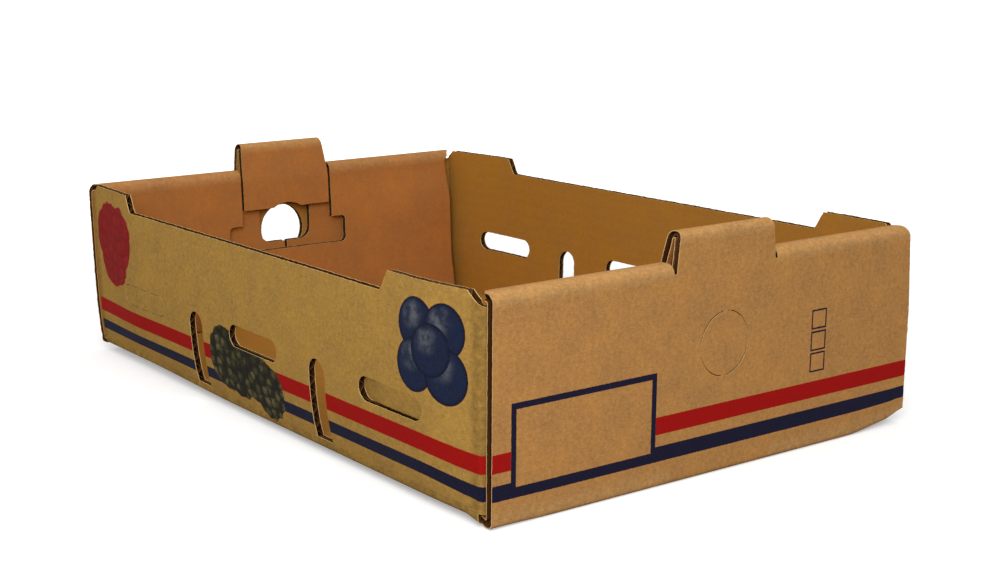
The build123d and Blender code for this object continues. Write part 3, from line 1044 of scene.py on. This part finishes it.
def paper_surface(tree, tone, rough, height):
    """Principled surface of paper."""
    bump = node(tree, "ShaderNodeBump", {"Strength": 1.0, "Distance": 1.0, "Height": height}).outputs[0]
    inputs = {"Base Color": tone, "Roughness": rough, "Normal": bump, "Specular IOR Level": PAPER_SPECULAR}
    put_out(tree, node(tree, "ShaderNodeBsdfPrincipled", inputs))


def print_paper(tree, paper, ink, mask):
    """Surface of printed paper, with the small bare spots of a rough print and the fibres under its ink."""
    bare = noise(tree, solid_place(tree), 1500.0, 3.0)
    cover = product(tree, mask, spread(tree, bare, 0.22, 0.42, 0.9, 0.995))
    shown = blend(tree, cover, paper["Color"], ink)
    rough = maths(tree, "SUBTRACT", paper["Roughness"], product(tree, cover, INK_SMOOTHING))
    paper_surface(tree, shown, rough, paper["Height"])


def new_material(name):
    """Empty node material of a name."""
    material = bpy.data.materials.new(name)
    material.use_nodes = True
    material.node_tree.nodes.clear()
    return material, material.node_tree


def kraft_look(name):
    """Plain kraft paper: an inner liner, a liner's hidden side, a cut edge or the fluted sheet."""
    if name in bpy.data.materials:
        return bpy.data.materials[name]
    colours = bpy.context.scene.tray_colours
    looks = {
        # Painted light, in part: the inside kraft's tint and darkness
        "inner_liner": (colours.inside_kraft, 0.22, 0.22, 0.00002),
        # Painted shade, in part: a liner's hidden side and the fluted sheet take the dark flute tone
        "bare_liner": (colours.flute_paper, 0.2, 0.3, 0.0),
        "cut_edge": (colours.cut_paper, 0.5, 0.6, 0.0),
        "fluted_medium": (colours.flute_paper, 0.3, 0.5, 0.0),
        "cut_flute": (colours.cut_flute, 0.9, 0.8, 0.0),
    }
    tone, clouds, fibre, washboard = looks[name]
    material, tree = new_material(name)
    if name == "inner_liner":
        # Painted shade: faces inside the tray take the darker inward kraft
        rolled = blend(tree, marked(tree, "indoors"), tone, colours.inward_kraft_painted_shade)
        # Painted shade darkens the inner liner's creases
        tone = wear_and_painted_light_tone(tree, rolled, colours.painted_crease_shade, CREASE_SHADE_SHARE)
    else:
        tone = (*tone, 1)
    paper = use(tree, kraft_paper(), {
        "Place": solid_place(tree), "Tone": tone, "Clouds": clouds, "Mottle": PLAIN_MOTTLE, "Fibre": fibre,
        "Across flutes": parts_of(tree, sheet_uv(tree))[1], "Washboard": washboard,
    })
    paper_surface(tree, paper["Color"], paper["Roughness"], paper["Height"])
    return material


def side_print():
    """Outer liner of the side walls: kraft with two stripes and three generic fruits."""
    if "side_print" in bpy.data.materials:
        return bpy.data.materials["side_print"]
    colours = bpy.context.scene.tray_colours
    material, tree = new_material("side_print")
    place, along, up = sheet_place(tree)
    solid = solid_place(tree)
    # The side kraft carries a painted tint of light, and painted shade darkens its creases
    tone = wear_and_painted_light_tone(tree, colours.side_kraft, colours.painted_crease_shade, CREASE_SHADE_SHARE)
    foot_mark = use(tree, foot_marks(), {"Place": solid, "Level": up})["Mask"]
    tone = blend(tree, foot_mark, tone, FOOT_MARK_COLOUR)
    paper = use(tree, kraft_paper(), {"Place": solid, "Tone": tone, "Across flutes": up})
    printed = stripe(tree, along, (-SIDE_PRINT_END, SIDE_PRINT_END))
    level = total(tree, up, spread(tree, along, DIP_START, DIP_STOP, 0.0, SIDE_PRINT_DIP))
    red, blue = (product(tree, printed, stripe(tree, level, band)) for band in (SIDE_RED, SIDE_BLUE))
    ink = blend(tree, blue, colours.red_ink, colours.blue_ink)
    mask = any_of(tree, red, blue)

    # The dark fruit comes last, over the stripes
    patches = flat_noise(tree, place, 140.0, 5.0, 0.6)[0]
    bloom = spread(tree, patches, 0.35, 0.7, 0.1, 1.0)
    dark_tones = tuple(colours.dark_ink), DARK_SHINE, DARK_GAP
    fruits = [
        bead_fruit(tree, place, RED_FRUIT, RED_BEAD, RED_TONES, RED_SHARES),
        *(blue_fruit(tree, place, bloom, *each) for each in BLUE_FRUIT),
        bead_fruit(tree, place, DARK_FRUIT, DARK_BEAD, dark_tones, DARK_SHARES),
    ]
    for whole, tone in fruits:
        ink = blend(tree, whole, ink, tone)
        mask = any_of(tree, mask, whole)
    print_paper(tree, paper, ink, mask)
    return material


def end_print():
    """Outer liner of an end wall: kraft with two stripes, a blank frame and three empty boxes."""
    if "end_print" in bpy.data.materials:
        return bpy.data.materials["end_print"]
    colours, ends = bpy.context.scene.tray_colours, bpy.context.scene.tray_ends
    material, tree = new_material("end_print")
    place, along, up = sheet_place(tree)
    indoors = marked(tree, "indoors")

    # The rim's band of wear and painted sheen stops at the tab, whose board runs straight up
    from_tab = maths(tree, "ABSOLUTE", maths(tree, "SUBTRACT", along, ends.hand_shift))
    off_tab = spread(tree, from_tab, ends.tab_base / 2, ends.tab_base / 2 + TAB_EDGE_BLEND)
    over_shoulder = spread(tree, up, SHOULDER_LEVEL, SHOULDER_LEVEL + SHOULDER_BLEND)
    wear_and_sheen_share = product(tree, any_of(tree, off_tab, over_shoulder), WEAR_AND_SHEEN_SHARE)
    # Painted light: the end kraft's tint, and the rolled rim and inner panel take the darker inward kraft as
    # painted shade
    tone = blend(tree, indoors, colours.end_kraft, colours.inward_kraft_painted_shade)
    tone = wear_and_painted_light_tone(tree, tone, colours.worn_paper_and_sheen, wear_and_sheen_share)
    calm = outside(tree, product(tree, indoors, INDOORS_CALM))
    paper = use(tree, kraft_paper(), {
        "Place": solid_place(tree), "Tone": tone, "Across flutes": along,
        "Mottle": product(tree, calm, END_MOTTLE), "Fibre": product(tree, calm, END_FIBRE),
    })

    label = rectangle(tree, place, FRAME_MIDDLE, FRAME_HALF, FRAME_LINE)
    boxes = [rectangle(tree, place, middle, BOX_HALF, BOX_LINE)["Line"] for middle in BOX_MIDDLES]
    blue = product(tree, stripe(tree, up, END_BLUE), outside(tree, label["Inside"]))
    red = product(tree, stripe(tree, up, END_RED), outside(tree, label["Filled"]))
    lines = any_of(tree, label["Line"], *boxes, blue)
    ink = blend(tree, lines, colours.red_ink, colours.blue_ink)
    print_paper(tree, paper, ink, any_of(tree, lines, red))
    return material


# Cuts of each strip, in metres

HELD = 1e-5
TRIM_START, TRIM_REACH = 0.001, 0.006
TAB_OUTLINE_STEPS, NOTCH_STEPS = 70, 21
PLY_BEND = 0.02

def side_wall_line(at, scene):
    """Side wall with a flap at both ends, seen from above."""
    shift, joint = scene.tray_ends.hand_shift, scene.tray_sides.flap_joint
    corners = [
        (-at.flap_mid, -shift - joint), (-at.flap_mid, -at.side_mid), (at.flap_mid, -at.side_mid),
        (at.flap_mid, shift - joint)
    ]
    return FoldedLine(corners, at, [at.crease] * 2, [at.inside] * 2, 2, -at.bend_start)


def side_wall_loops(at, scene, turned, wear):
    """Outline and slots of a side wall, seen from outside, as a function of a seed."""
    sides, ends = scene.tray_sides, scene.tray_ends
    fold_end = at.bend_start + at.quarter
    flap_start = at.side_mid - at.fold
    low_left = at.half_length - sides.short_raised_end - sides.step_run
    low_right = at.half_length - sides.long_raised_end - sides.step_run
    chamfer_start = at.half_length - sides.chamfer_run
    notch_foot = at.hand_level - sides.flap_notch_below
    sag = sides.flap_notch_radius

    def flap(side):
        """Edge of one flap from its foot to the corner. The side is 1 near and -1 far."""
        hand = ends.hand_shift * side
        tip = fold_end + (hand - sides.flap_joint + flap_start)
        notch = fold_end + (hand - sides.flap_notch_half + flap_start)
        points = [
            (tip, at.wall_foot, 0), (tip, notch_foot, 0), (notch, notch_foot, sag), (notch, at.flap_top, 0),
            (fold_end, at.flap_top, 0)
        ]
        slope = sides.flap_top_drop / (at.flap_mid - chamfer_start)
        for part in (0.75, 0.5, 0.25, 0.0):
            x = at.bend_start + at.fold * math.sin(part * math.pi / 2)
            points.append((at.bend_start + part * at.quarter, at.rim - (x - chamfer_start) * slope, 0))
        return points + [(chamfer_start, at.rim, 0)]

    right = flap(1)
    left = [(-x, y, r) for x, y, r in reversed(flap(-1))]
    middle = [
        (low_right + sides.step_run, at.rim, 0), (low_right, at.low_edge, sides.cut_corner),
        (-low_left, at.low_edge, sides.cut_corner), (-low_left - sides.step_run, at.rim, 0),
    ]
    outline = rounded(right + middle + left)

    slots = []
    for step in (-1, 0, 1):
        x = sides.slot_shift + step * at.slot_spacing
        slots.append(level_slot(x, sides.grip_level, sides.grip_length, sides.grip_height))
    far_slot = slots.pop(0)
    foot = at.wall_foot + sides.vent_foot
    for step in (-0.5, 0.5):
        x = sides.slot_shift + step * at.slot_spacing
        slots.append(upright_slot(x, foot, sides.vent_top, sides.vent_width))
    if turned:
        slots.append(far_slot)
        kept = []
    else:
        middle_of = (sides.slot_shift - at.slot_spacing, sides.grip_level)
        kept = kerfs(far_slot, middle_of, ends.fine_kerf, ends.fine_kerf, ends.nick, math.radians(45))

    def loops(seed):
        on_foot = lambda p: p.y < at.wall_foot + HELD
        cut = [worn(outline, wear, seed, on_foot)]
        cut += [worn(slot, wear, seed + 10 * index + 10) for index, slot in enumerate(slots)]
        return cut + kept

    return loops


def floor_line(at):
    """Floor with the side folds, seen from the end."""
    corners = [
        (-at.side_mid, at.wall_foot), (-at.side_mid, at.floor_mid), (at.side_mid, at.floor_mid),
        (at.side_mid, at.wall_foot)
    ]
    return FoldedLine(corners, at, [at.crease] * 2, [at.inside] * 2, 2, -(at.side_mid - at.fold))


def end_line(at, board):
    """Outer panel, rolled rim and inner panel of an end, seen from the side."""
    corners = [
        (at.side_fold_end, at.floor_mid), (at.outer_mid, at.floor_mid),
        (at.outer_mid, at.rim - board.board / 2),
        (at.inner_mid, at.rim - board.board / 2), (at.inner_mid, board.board + board.ply_gap),
    ]
    return FoldedLine(corners, at, [at.crease, at.reach, at.reach], [at.inside] * 3, 2, at.reach)


def end_loops(at, scene, line, turned, wear):
    """Outline, window and hand hole of an end's strip, as a function of a seed."""
    board, ends = scene.tray_board, scene.tray_ends
    top_fold = at.rim - board.board / 2 - at.fold
    inner_start = line.runs[6][0]
    slant_foot = at.inner_mid + board.fold_inside

    def half_width(distance, inset, corner, trim):
        x, z = line.at(np.array([distance]), 0.0)[0]
        over = min(max(0.0, z - (at.rim - corner)), corner)
        width = at.half_width - inset - corner + math.sqrt(corner ** 2 - over ** 2)
        if distance > top_fold and x < at.half_length - at.board:
            share = min(1.0, (at.half_length - at.board - x) / (at.half_length - at.board - slant_foot))
            trimmed = trim * smooth((at.rim - z - TRIM_START) / TRIM_REACH)
            width = min(width, at.half_width - share * (at.half_width - at.inner_half) - trimmed)
        return width

    steps = [line.start, *np.arange(top_fold - 0.004, inner_start + 0.002, CHORD), line.stop]
    right = [
        Vector((step, half_width(step, ends.panel_inset, ends.rim_nip, ends.inner_trim))) for step in steps
    ]
    left = [Vector((step, -half_width(step, 0.0, ends.rim_corner, 0.0))) for step in steps]
    outline = right + left[::-1]

    def inner(z):
        return inner_start + top_fold - z

    middle = -ends.hand_shift
    neck = ends.tab_base / 2 + ends.tab_slit
    wide = ends.window_width / 2
    foot, head = inner(at.hand_level - ends.window_below), inner(at.hand_level + ends.window_above)
    window = rounded([
        (at.shoulder, middle - neck, 0), (head, middle - neck, 0), (head, middle - wide, ends.window_radius),
        (foot, middle - wide, ends.window_radius), (foot, middle + wide, ends.window_radius),
        (head, middle + wide, ends.window_radius), (head, middle + neck, 0), (at.shoulder, middle + neck, 0),
    ])
    hole = circle(at.hand_level, middle, ends.hand_diameter / 2)
    kept = [] if turned else kerfs(hole, (at.hand_level, middle), ends.fine_kerf, ends.kerf, ends.nick, 0.0)

    def loops(seed):
        on_floor = lambda p: p.x < line.start + HELD
        cut = [
            worn(outline, wear, seed, on_floor),
            worn(window, wear, seed + 10, lambda p: p.x < at.shoulder + 0.001)
        ]
        return cut + ([worn(hole, wear, seed + 20)] if turned else kept)

    return loops


def tab_line(at, scene):
    """Tab: up from the outer panel, folded back, and hanging in the window."""
    board, ends = scene.tray_board, scene.tray_ends
    crown = at.tab_top - board.board / 2
    corners = [
        (at.outer_mid, at.shoulder), (at.outer_mid, crown), (at.outer_mid - ends.tab_depth, crown),
        (at.inner_mid, at.flap_top - board.fold_inside), (at.inner_mid, at.rim - ends.tab_ply_drop),
    ]
    inside = [ends.tab_fold_inside, ends.tab_fold_inside, PLY_BEND]
    return FoldedLine(corners, at, [radius + at.board for radius in inside], inside, 0, at.shoulder)


def tab_loops(at, scene, line, wear):
    """Outline of a tab's strip, as a function of a seed."""
    ends = scene.tray_ends
    base, crown, corner = ends.tab_base / 2, ends.tab_crown / 2, ends.tab_corner
    middle = -ends.hand_shift

    def half_width(distance):
        z = line.at(np.array([distance]), 0.0)[0][1]
        rise = max(0.0, (z - at.shoulder) / (at.tab_top - at.shoulder))
        over = max(0.0, z - (at.tab_top - corner))
        return base + (crown - base) * rise - corner + math.sqrt(corner ** 2 - over ** 2)

    steps = np.linspace(line.start, line.stop, TAB_OUTLINE_STEPS)
    right = [Vector((step, middle + half_width(step))) for step in steps]
    left = [Vector((p.x, 2 * middle - p.y)) for p in reversed(right)]
    bite = ends.hand_diameter / 2 + ends.hand_notch
    foot = at.rim - ends.tab_ply_drop
    reach = math.sqrt(bite ** 2 - (foot - at.hand_level) ** 2)
    notch = [
        Vector((line.stop - (at.hand_level + math.sqrt(bite ** 2 - y ** 2) - foot), middle + y))
        for y in np.linspace(reach, -reach, NOTCH_STEPS)
    ]
    outline = right + notch + left

    def loops(seed):
        return [worn(outline, wear, seed, lambda p: p.x < line.start + HELD)]

    return loops


# Operators, with the lengths in metres over which a piece's own changes fade

RIPPLE_LENGTHS, RIPPLE_FADE = (0.031, 0.013, 0.021), 0.03
RIPPLE_SHARE, QUICK_SHARE = 0.6, 0.6
TURNED_PHASE = 2.0
KNOCK_OUT_GAP = 0.0006
SPRING_EDGE, SPRING_START, SPRING_REACH = 0.002, 0.01, 0.1
SPRING_TOP, SPRING_FADE = 0.006, 0.03
INDOORS_START, INDOORS_BLEND, FLAP_BLEND = 0.004, 0.006, 0.004

class TrayPiece:
    """What the tray's operators share."""

    bl_options = {"REGISTER", "UNDO"}

    @classmethod
    def poll(cls, context):
        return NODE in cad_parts


class TRAY_OT_side_walls(TrayPiece, bpy.types.Operator):
    """Builds both side walls with their slots and corner flaps"""

    bl_idname = "tray.side_walls"
    bl_label = "Side walls"

    def execute(self, context):
        scene = context.scene
        at, board = Places(scene), scene.tray_board
        parts = []
        for turned in (False, True):
            phase = TURNED_PHASE if turned else 0.0

            def ripple(along, across, phase=phase):
                slow, quick, up = RIPPLE_LENGTHS
                wave = np.sin(along / slow + phase) * np.sin(across / up + 1 + phase)
                wave = wave + QUICK_SHARE * np.sin(along / quick + 2 * phase)
                over_foot = smooth((across - at.wall_foot) / RIPPLE_FADE)
                off_corner = smooth((at.bend_start - np.abs(along)) / RIPPLE_FADE)
                return board.ripple * RIPPLE_SHARE * wave * over_foot * off_corner

            parts.append({
                "strip": Strip(side_wall_line(at, scene), "XY", turned, ripple),
                "lengthways": True,
                "across_flutes": lambda flat: flat[:, 1] + at.floor_half_run - at.wall_foot,
                "loops": side_wall_loops(at, scene, turned, board.wear),
                "sheet": lambda flat: flat,
                "indoors": lambda flat: smooth(
                    (np.abs(flat[:, 0]) - at.bend_start - at.quarter) / FLAP_BLEND
                ),
            })
        board_pieces("side_walls", parts, side_print(), kraft_look("inner_liner"))
        return {"FINISHED"}


class TRAY_OT_pushed_in_flap(TrayPiece, bpy.types.Operator):
    """Builds the knock-out of the near level slot, swung inwards about its top edge"""

    bl_idname = "tray.pushed_in_flap"
    bl_label = "Pushed-in flap"

    def execute(self, context):
        scene = context.scene
        at, board, sides, ends = Places(scene), scene.tray_board, scene.tray_sides, scene.tray_ends
        middle = sides.slot_shift + at.slot_spacing
        half, top = sides.grip_length / 2 - KNOCK_OUT_GAP, sides.grip_height / 2
        low = top - KNOCK_OUT_GAP
        straight = (sides.grip_length - sides.grip_height) / 2
        round_ = low * 0.98
        level = sides.grip_level
        outline = rounded([
            (middle - half, level - low, round_), (middle + half, level - low, round_),
            (middle + half, level + low, round_),
            (middle + straight, level + low, 0), (middle + straight, level + top, 0),
            (middle - straight, level + top, 0),
            (middle - straight, level + low, 0), (middle - half, level + low, round_),
        ])
        hinge = np.array((0, -at.half_width, level + top))
        turn = np.array(Matrix.Rotation(ends.pushed_in, 3, "X"))

        def swing(points):
            swung = (points - hinge) @ turn.T + hinge
            swung[:, 1] += ends.pushed_end * smooth((middle - half + 0.02 - points[:, 0]) / 0.02)
            return swung

        line = FoldedLine(
            [(-at.bend_start, -at.side_mid), (at.bend_start, -at.side_mid)], at, [], [], 0, -at.bend_start
        )
        part = {
            "strip": Strip(line, "XY", False, None, swing),
            "lengthways": True,
            "across_flutes": lambda flat: flat[:, 1] + at.floor_half_run - at.wall_foot,
            "loops": lambda seed: [worn(outline, board.wear, seed, lambda p: p.y > level + top - HELD)],
            "sheet": lambda flat: flat,
            "indoors": lambda flat: np.zeros(len(flat)),
        }
        board_pieces("pushed_in_flap", [part], side_print(), kraft_look("inner_liner"))
        return {"FINISHED"}


class TRAY_OT_floor(TrayPiece, bpy.types.Operator):
    """Builds the floor with its side folds"""

    bl_idname = "tray.floor"
    bl_label = "Floor"

    def execute(self, context):
        scene = context.scene
        at = Places(scene)
        line = floor_line(at)
        long, wide = line.stop, at.side_fold_end
        outline = [Vector((-long, -wide)), Vector((long, -wide)), Vector((long, wide)), Vector((-long, wide))]

        def sheet(flat):
            """The side walls' print runs on round their folds."""
            side = np.where(flat[:, 0] < 0, 1.0, -1.0)
            return np.stack([side * flat[:, 1], np.abs(flat[:, 0]) - long + at.wall_foot], 1)

        part = {
            "strip": Strip(line, "YZ", False),
            "lengthways": False,
            "across_flutes": lambda flat: flat[:, 0],
            "loops": lambda seed: [outline],
            "sheet": sheet,
            "indoors": lambda flat: np.zeros(len(flat)),
        }
        board_pieces("floor", [part], side_print(), kraft_look("inner_liner"))
        return {"FINISHED"}


class TRAY_OT_end_walls(TrayPiece, bpy.types.Operator):
    """Builds both double end walls with their rolled rim and window"""

    bl_idname = "tray.end_walls"
    bl_label = "End walls"

    def execute(self, context):
        scene = context.scene
        at, board = Places(scene), scene.tray_board
        line = end_line(at, board)
        rim_start = line.runs[3][0]

        def swing(points):
            x, y, z = points.T
            sprung = smooth((at.flap_mid - x) / SPRING_EDGE) * smooth((-y - SPRING_START) / SPRING_REACH)
            sprung = sprung * smooth((at.rim - SPRING_TOP - z) / SPRING_FADE)
            return points - np.stack([scene.tray_ends.inner_spring * sprung, 0 * y, 0 * z], 1)

        parts = []
        for turned in (False, True):
            parts.append({
                "strip": Strip(line, "XZ", turned, None, swing),
                "lengthways": True,
                "across_flutes": lambda flat: flat[:, 1],
                "loops": end_loops(at, scene, line, turned, board.wear),
                "sheet": lambda flat: np.stack([-flat[:, 1], flat[:, 0]], 1),
                "indoors": lambda flat: smooth((flat[:, 0] - rim_start - INDOORS_START) / INDOORS_BLEND),
            })
        board_pieces("end_walls", parts, end_print(), kraft_look("inner_liner"))
        return {"FINISHED"}


class TRAY_OT_stacking_tabs(TrayPiece, bpy.types.Operator):
    """Builds both stacking tabs, folded back on themselves"""

    bl_idname = "tray.stacking_tabs"
    bl_label = "Stacking tabs"

    def execute(self, context):
        scene = context.scene
        at, board = Places(scene), scene.tray_board
        line = tab_line(at, scene)
        crown = line.runs[2][0]
        parts = []
        for turned in (False, True):
            parts.append({
                "strip": Strip(line, "XZ", turned),
                "lengthways": True,
                "across_flutes": lambda flat: flat[:, 1],
                "loops": tab_loops(at, scene, line, board.wear),
                "sheet": lambda flat: np.stack([-flat[:, 1], flat[:, 0]], 1),
                "indoors": lambda flat: smooth((flat[:, 0] - crown) / INDOORS_BLEND),
            })
        board_pieces("stacking_tabs", parts, end_print(), kraft_look("inner_liner"))
        return {"FINISHED"}


# Stage: places in metres, power in watts, turns in degrees, and the lens in millimetres

FLOOR_REACH, BOUNCE_COLOUR = 40.0, (0.3, 0.29, 0.28)
GLOW_START, GLOW_WHOLE, LEAST_GLOW = 0.3, 1.0, 0.32
AMBIENT = 0.5
LAMP_TARGET = (0, 0, 0.05)
LAMPS = {"key_softbox": ((1.0, -0.85, 0.8), 0.8, 15.5), "top_softbox": ((0.1, -0.2, 1.9), 1.6, 10.0)}
SENSOR_WIDTH = 36.0
CAMERA_PLACE = (0.7202, -0.5464, 0.2545)
CAMERA_YAW, CAMERA_PITCH, CAMERA_ROLL = 55.948, 12.298, -0.504
CAMERA_LENS, CAMERA_SHIFT = 57.14, 0.12


def seen_plainly(tree):
    """Mask of rays that show a surface itself, and not the light that it gives to others."""
    path = node(tree, "ShaderNodeLightPath").outputs
    return any_of(tree, path["Is Camera Ray"], path["Is Glossy Ray"], path["Is Transmission Ray"])


class TRAY_OT_stage(bpy.types.Operator):
    """Sets the floor, the lights and the camera"""

    bl_idname = "tray.stage"
    bl_label = "Stage"

    def execute(self, context):
        scene = context.scene
        self.floor(scene)
        self.lights(scene)
        self.camera(scene)
        scene.view_settings.view_transform = "Standard"
        return {"FINISHED"}

    def floor(self, scene):
        mesh = bpy.data.meshes.new("studio_floor")
        corners = [(x * FLOOR_REACH, y * FLOOR_REACH, 0) for x, y in ((-1, -1), (1, -1), (1, 1), (-1, 1))]
        mesh.from_pydata(corners, [], [(0, 1, 2, 3)])
        material, tree = new_material("studio_floor")
        seen = seen_plainly(tree)
        away = vectors(tree, "LENGTH", solid_place(tree))
        glow = product(tree, seen, spread(tree, away, GLOW_START, GLOW_WHOLE, LEAST_GLOW, 1.0))
        inputs = {
            "Base Color": blend(tree, seen, BOUNCE_COLOUR, scene.tray_colours.floor),
            "Roughness": 0.9, "Specular IOR Level": 0.0, "Emission Color": (1, 1, 1, 1),
            "Emission Strength": glow,
        }
        put_out(tree, node(tree, "ShaderNodeBsdfPrincipled", inputs))
        mesh.materials.append(material)
        floor = bpy.data.objects.new("studio_floor", mesh)
        scene.collection.objects.link(floor)

    def lights(self, scene):
        world = bpy.data.worlds.new("studio")
        world.use_nodes = True
        tree = world.node_tree
        tree.nodes.clear()
        strength = spread(tree, seen_plainly(tree), 0.0, 1.0, AMBIENT, 1.0, soft=False)
        back = node(tree, "ShaderNodeBackground", {"Color": (1, 1, 1, 1), "Strength": strength})
        put_out(tree, back, "ShaderNodeOutputWorld")
        scene.world = world
        for name, settings in LAMPS.items():
            self.softbox(scene, name, *settings)

    def softbox(self, scene, name, place, size, power):
        light = bpy.data.lights.new(name, "AREA")
        light.shape, light.size, light.energy = "SQUARE", size, power
        lamp = bpy.data.objects.new(name, light)
        lamp.location = place
        lamp.rotation_mode = "QUATERNION"
        lamp.rotation_quaternion = (Vector(LAMP_TARGET) - Vector(place)).to_track_quat("-Z", "Y")
        scene.collection.objects.link(lamp)

    def camera(self, scene):
        yaw, pitch, roll = (math.radians(value) for value in (CAMERA_YAW, CAMERA_PITCH, CAMERA_ROLL))
        forward = Vector(
            (-math.sin(yaw) * math.cos(pitch), math.cos(yaw) * math.cos(pitch), -math.sin(pitch))
        )
        right = Vector((math.cos(yaw), math.sin(yaw), 0))
        up = right.cross(forward)
        rolled_right = right * math.cos(roll) + up * math.sin(roll)
        rolled_up = up * math.cos(roll) - right * math.sin(roll)
        lens = bpy.data.cameras.new("camera")
        lens.sensor_width, lens.lens, lens.shift_x = SENSOR_WIDTH, CAMERA_LENS, CAMERA_SHIFT
        camera = bpy.data.objects.new("camera", lens)
        turn = Matrix((rolled_right, rolled_up, -forward)).transposed().to_4x4()
        camera.matrix_world = Matrix.Translation(CAMERA_PLACE) @ turn
        scene.collection.objects.link(camera)
        scene.camera = camera


class TRAY_PT_panel(bpy.types.Panel):
    """Panel that lists the tray's pieces and settings"""

    bl_label = "Folded tray"
    bl_space_type = "VIEW_3D"
    bl_region_type = "UI"
    bl_category = "Tray"

    def draw(self, context):
        column = self.layout.column()
        for operator in OPERATORS:
            column.operator(operator.bl_idname)
        for name, group in SETTINGS.items():
            box = column.box()
            box.label(text=group.__doc__)
            for setting in group.__annotations__:
                box.prop(getattr(context.scene, name), setting)


OPERATORS = [
    TRAY_OT_side_walls, TRAY_OT_pushed_in_flap, TRAY_OT_floor, TRAY_OT_end_walls, TRAY_OT_stacking_tabs,
    TRAY_OT_stage,
]


def register():
    for kind in [*SETTINGS.values(), *OPERATORS, TRAY_PT_panel]:
        bpy.utils.register_class(kind)
    for name, group in SETTINGS.items():
        setattr(bpy.types.Scene, name, bpy.props.PointerProperty(type=group))


def unregister():
    for name in SETTINGS:
        delattr(bpy.types.Scene, name)
    for kind in reversed([*SETTINGS.values(), *OPERATORS, TRAY_PT_panel]):
        bpy.utils.unregister_class(kind)


def main():
    register()
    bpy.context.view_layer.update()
    for operator in OPERATORS:
        group, name = operator.bl_idname.split(".")
        getattr(getattr(bpy.ops, group), name)()


if __name__ == "__main__":
    main()
